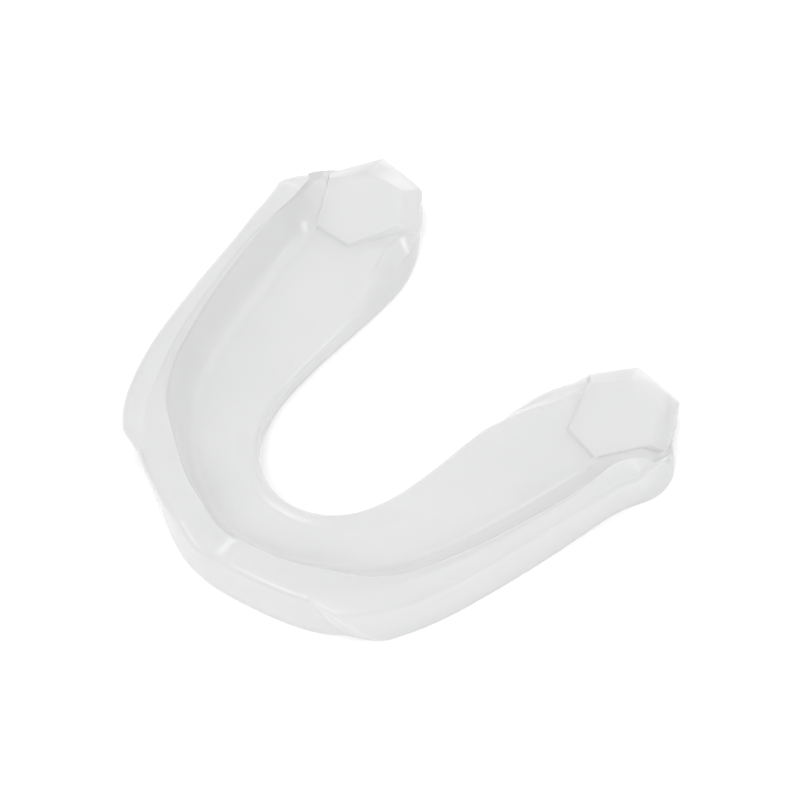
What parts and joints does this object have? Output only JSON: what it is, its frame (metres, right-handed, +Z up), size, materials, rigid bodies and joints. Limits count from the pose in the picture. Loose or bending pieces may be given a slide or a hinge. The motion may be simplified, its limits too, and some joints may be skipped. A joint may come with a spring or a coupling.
{
  "type": "mouthguard",
  "caption": "U-shaped boil-and-bite mouthguard: outer wall, sunk soft bite floor, cheek wings and bevelled hexagonal molar pads, translucent.",
  "frame": {"origin": "centre of the footprint, on the plane the guard rests on", "axes": "+Z up toward the teeth of the upper jaw, -Y toward the front teeth and lips, arms open toward +Y, X across the mouth"},
  "size_m": [0.0644, 0.0576, 0.008],
  "materials": {
    "tray_eva": "satin translucent",
    "liner_eva": "satin translucent",
    "pad_eva": "satin translucent"
  },
  "bodies": {
    "root": {"outer_tray": "tray_eva", "fit_liner": "liner_eva", "molar_pad_left": "pad_eva", "molar_pad_right": "pad_eva", "cheek_wing_left": "tray_eva", "cheek_wing_right": "tray_eva"}
  },
  "joints": []
}
